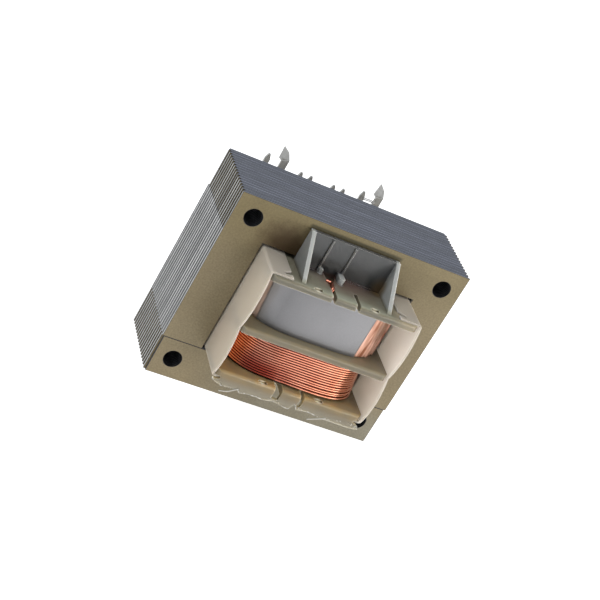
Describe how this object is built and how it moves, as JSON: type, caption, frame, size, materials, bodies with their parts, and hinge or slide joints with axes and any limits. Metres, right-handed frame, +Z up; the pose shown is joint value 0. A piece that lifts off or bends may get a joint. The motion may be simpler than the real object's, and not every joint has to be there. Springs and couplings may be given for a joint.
{
  "type": "mains transformer",
  "caption": "Mains transformer on a laminated EI core: split bobbin with an exposed copper winding, a taped winding under a bare label, cream end covers and rear solder tags.",
  "frame": {"origin": "middle of the core's lower edge, in the plane it stands on", "axes": "+X along the core, -Y the front with the label, +Y the rear with the solder tags, +Z up"},
  "size_m": [0.048, 0.0376, 0.0406],
  "materials": {
    "lamination": "varnished electrical steel, olive-khaki on the faces",
    "bobbin": "natural nylon, slightly translucent",
    "copper": "enamelled copper wire",
    "film": "clear polyester tape",
    "label": "silver-grey, bare",
    "cover": "cream polypropylene sheet",
    "tag": "tinned"
  },
  "bodies": {
    "root": {"e_lamination_01": "lamination", "e_lamination_02": "lamination", "e_lamination_03": "lamination", "e_lamination_04": "lamination", "e_lamination_05": "lamination", "e_lamination_06": "lamination", "e_lamination_07": "lamination", "e_lamination_08": "lamination", "e_lamination_09": "lamination", "e_lamination_10": "lamination", "e_lamination_11": "lamination", "e_lamination_12": "lamination", "e_lamination_13": "lamination", "e_lamination_14": "lamination", "e_lamination_15": "lamination", "e_lamination_16": "lamination", "e_lamination_17": "lamination", "e_lamination_18": "lamination", "e_lamination_19": "lamination", "e_lamination_20": "lamination", "e_lamination_21": "lamination", "e_lamination_22": "lamination", "e_lamination_23": "lamination", "e_lamination_24": "lamination", "e_lamination_25": "lamination", "e_lamination_26": "lamination", "e_lamination_27": "lamination", "e_lamination_28": "lamination", "e_lamination_29": "lamination", "e_lamination_30": "lamination", "e_lamination_31": "lamination", "e_lamination_32": "lamination", "i_laminations_lower": "lamination", "i_laminations_upper": "lamination", "bobbin": "bobbin", "secondary_winding": "copper", "primary_winding": "copper", "primary_film": "film", "label": "label", "cover_left": "cover", "cover_right": "cover", "upper_tag_left_outer": "tag", "upper_tag_left_inner": "tag", "upper_tag_right_inner": "tag", "upper_tag_right_outer": "tag", "lower_tag_left_outer": "tag", "lower_tag_left_inner": "tag", "lower_tag_right_inner": "tag", "lower_tag_right_outer": "tag", "primary_lead_left": "copper", "primary_lead_right": "copper", "secondary_lead_left": "copper", "secondary_lead_right": "copper"}
  },
  "joints": []
}
